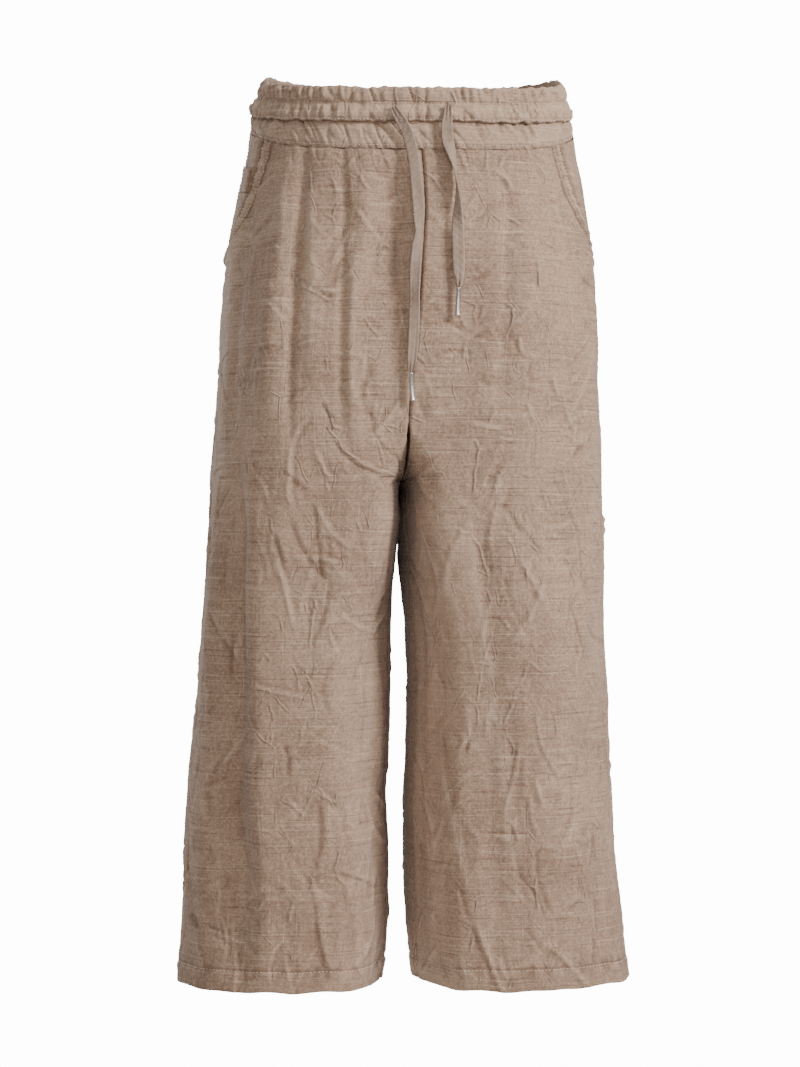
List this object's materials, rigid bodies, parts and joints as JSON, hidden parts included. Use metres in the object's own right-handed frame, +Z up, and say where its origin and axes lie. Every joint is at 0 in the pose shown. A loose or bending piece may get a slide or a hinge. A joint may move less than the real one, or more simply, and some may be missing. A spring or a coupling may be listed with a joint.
{
  "type": "culottes",
  "caption": "Wide-leg drawstring culottes in crumpled linen, in their worn hollow shape, with curved front pockets, a gathered elasticated waist and turned-up hems.",
  "frame": {"origin": "middle of the waist opening, level with the drawcord channel at the sides, where the wearer holds the garment up", "axes": "+Z up towards the waist, -Y the front, +X the wearer's left"},
  "size_m": [0.4213, 0.2688, 0.8399],
  "materials": {
    "linen": "garment-dyed linen, crumpled, matt, taupe",
    "tape": "herringbone cotton tape, matt, taupe",
    "nickel": "nickel-plated, polished"
  },
  "bodies": {
    "root": {"waist_casing": "linen", "yoke_front": "linen", "yoke_back": "linen", "front_left": "linen", "front_right": "linen", "back_left": "linen", "back_right": "linen", "pocket_facing_left": "linen", "pocket_facing_right": "linen", "coin_pocket": "linen", "drawcord_left": "tape", "drawcord_right": "tape", "aglet_left": "nickel", "aglet_right": "nickel"}
  },
  "joints": []
}
